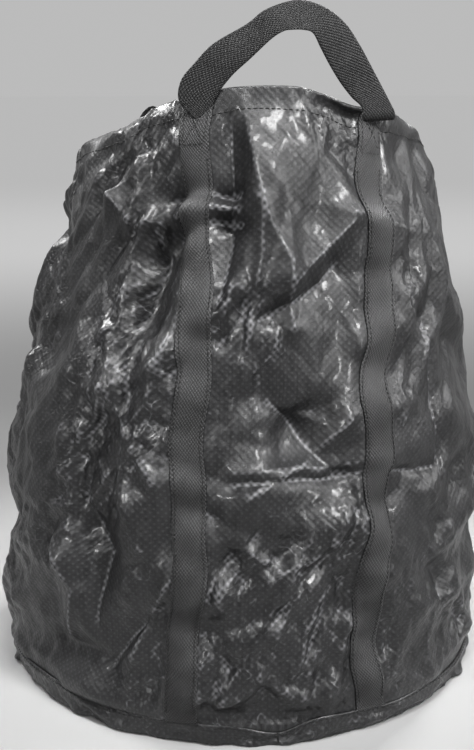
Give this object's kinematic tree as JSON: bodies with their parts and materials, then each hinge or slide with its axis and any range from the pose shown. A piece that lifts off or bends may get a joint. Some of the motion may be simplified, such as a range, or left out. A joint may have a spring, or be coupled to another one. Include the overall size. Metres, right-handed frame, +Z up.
{
  "type": "fabric grow bag",
  "caption": "Round, flexible woven-sheet planter with a flat base, a hemmed mouth narrower than the base, and webbing straps that run up the wall into carrying handles.",
  "frame": {"origin": "centre of the base's underside, where the bag stands on the ground", "axes": "+Z up through the mouth; the front handle is on the -Y side and the back handle on the +Y side"},
  "size_m": [0.4014, 0.4014, 0.527],
  "materials": {
    "laminate": "coated woven tape sheet, semi-gloss, crumpled",
    "webbing": "coarse twill webbing, dull sheen",
    "thread": "spun thread"
  },
  "bodies": {
    "bag": {"front_wall": "laminate", "back_wall": "laminate", "base_panel": "laminate", "front_left_strap": "webbing", "front_right_strap": "webbing", "back_left_strap": "webbing", "back_right_strap": "webbing", "hem_stitching": "thread", "base_stitching": "thread", "left_seam_stitching": "thread", "right_seam_stitching": "thread", "front_left_strap_stitching": "thread", "front_right_strap_stitching": "thread", "back_left_strap_stitching": "thread", "back_right_strap_stitching": "thread", "front_left_tack": "thread", "front_right_tack": "thread", "back_left_tack": "thread", "back_right_tack": "thread"},
    "front_handle": {"front_handle": "webbing"},
    "back_handle": {"back_handle": "webbing"}
  },
  "joints": [
    {"name": "front_handle_swing", "type": "hinge", "parent": "bag", "child": "front_handle", "pos_m": [0, -0.1163, 0.457], "axis": [1, 0, 0], "range_deg": [-90, 140]},
    {"name": "back_handle_swing", "type": "hinge", "parent": "bag", "child": "back_handle", "pos_m": [0, 0.1163, 0.457], "axis": [1, 0, 0], "range_deg": [0, 230]}
  ]
}
